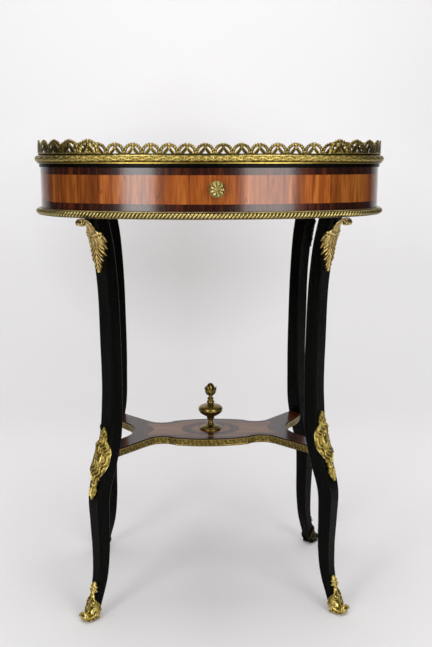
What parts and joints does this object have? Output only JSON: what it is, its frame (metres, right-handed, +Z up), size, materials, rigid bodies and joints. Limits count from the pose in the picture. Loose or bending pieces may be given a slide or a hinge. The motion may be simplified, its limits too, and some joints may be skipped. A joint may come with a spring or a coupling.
{
  "type": "occasional table",
  "caption": "Oval occasional table with cabriole legs, brass mounts and a pierced gallery, a frieze drawer and a shaped undertier that carries an urn finial.",
  "frame": {"origin": "on the floor, at the middle of the table", "axes": "+Z up, the drawer faces -Y, +X is to the right for someone facing the drawer"},
  "size_m": [0.592, 0.3934, 0.791],
  "materials": {
    "ebonised_wood": "black stained and French polished",
    "kingwood": "dark cross-banded veneer, French polished",
    "tulipwood": "orange-brown striped veneer, French polished",
    "gilt_brass": "cast and chased brass, gilt lacquer",
    "oak": "plain planed wood",
    "steel": "plain steel"
  },
  "bodies": {
    "table": {"top_board": "ebonised_wood", "shelf_board": "ebonised_wood", "leg_front_right": "ebonised_wood", "leg_front_left": "ebonised_wood", "leg_rear_right": "ebonised_wood", "leg_rear_left": "ebonised_wood", "top_border_veneer": "kingwood", "frieze_band_veneers": "kingwood", "shelf_border_veneer": "kingwood", "shelf_medallion_ring": "kingwood", "top_field_veneer": "tulipwood", "frieze_field_veneers": "tulipwood", "shelf_field_veneer": "tulipwood", "shelf_medallion_core": "tulipwood", "top_moulding": "gilt_brass", "base_moulding": "gilt_brass", "gallery": "gilt_brass", "shelf_banding": "gilt_brass", "finial_foot": "gilt_brass", "finial_vase": "gilt_brass", "finial_bud": "gilt_brass", "chute_front_right": "gilt_brass", "chute_front_left": "gilt_brass", "chute_rear_right": "gilt_brass", "chute_rear_left": "gilt_brass", "knee_mount_front_right": "gilt_brass", "knee_mount_front_left": "gilt_brass", "knee_mount_rear_right": "gilt_brass", "knee_mount_rear_left": "gilt_brass", "sabot_front_right": "gilt_brass", "sabot_front_left": "gilt_brass", "sabot_rear_right": "gilt_brass", "sabot_rear_left": "gilt_brass", "base_board": "oak", "frieze_right": "oak", "frieze_left": "oak", "frieze_back": "oak", "drawer_runners": "oak", "drawer_kickers": "oak", "drawer_guides": "oak", "drawer_stops": "oak", "glue_blocks": "oak", "shelf_tenons": "oak", "leg_bolts": "steel", "finial_rod": "steel"},
    "drawer": {"drawer_front": "oak", "drawer_field_veneer": "tulipwood", "drawer_band_veneers": "kingwood", "drawer_side_right": "oak", "drawer_side_left": "oak", "drawer_back": "oak", "drawer_bottom": "oak", "drawer_knob": "gilt_brass", "drawer_knob_screw": "steel"}
  },
  "joints": [
    {"name": "drawer_slide", "type": "slide", "parent": "table", "child": "drawer", "axis": [0, -1, 0], "range_m": [0, 0.18]}
  ]
}
